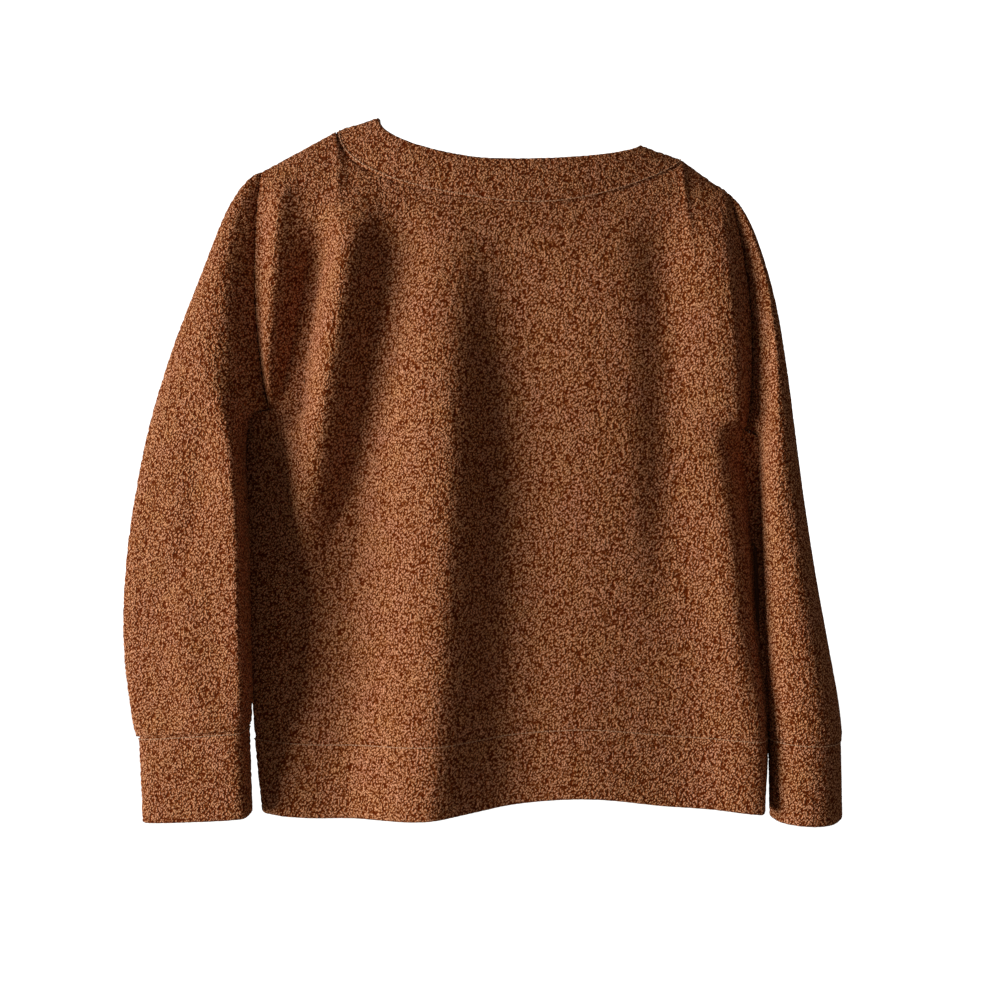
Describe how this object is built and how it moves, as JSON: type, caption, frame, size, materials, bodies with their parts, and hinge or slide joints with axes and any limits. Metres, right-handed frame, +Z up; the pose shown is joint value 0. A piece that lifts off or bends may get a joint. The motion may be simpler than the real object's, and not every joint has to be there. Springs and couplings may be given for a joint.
{
  "type": "sherpa fleece pullover",
  "caption": "Long-sleeved sherpa fleece pullover with a wide boat neck, sewn-on hem band and cuffs, hanging empty and hollow in soft vertical folds.",
  "frame": {"origin": "on the shoulder line, where the neck opening is centred and a wearer or hanger holds the garment up", "axes": "+Z up, -Y the way the front faces, X across the shoulders with the garment's view-left sleeve at -X"},
  "size_m": [0.6511, 0.1017, 0.635],
  "materials": {
    "fleece": "curly russet-brown sherpa pile outside, plain brown knit backing inside",
    "band_fleece": "the same curly pile, double at the hem, cuffs and neck"
  },
  "bodies": {
    "root": {"front_panel": "fleece", "back_panel": "fleece", "left_sleeve": "fleece", "right_sleeve": "fleece", "hem_band": "band_fleece", "neckband": "band_fleece", "left_cuff": "band_fleece", "right_cuff": "band_fleece"}
  },
  "joints": []
}
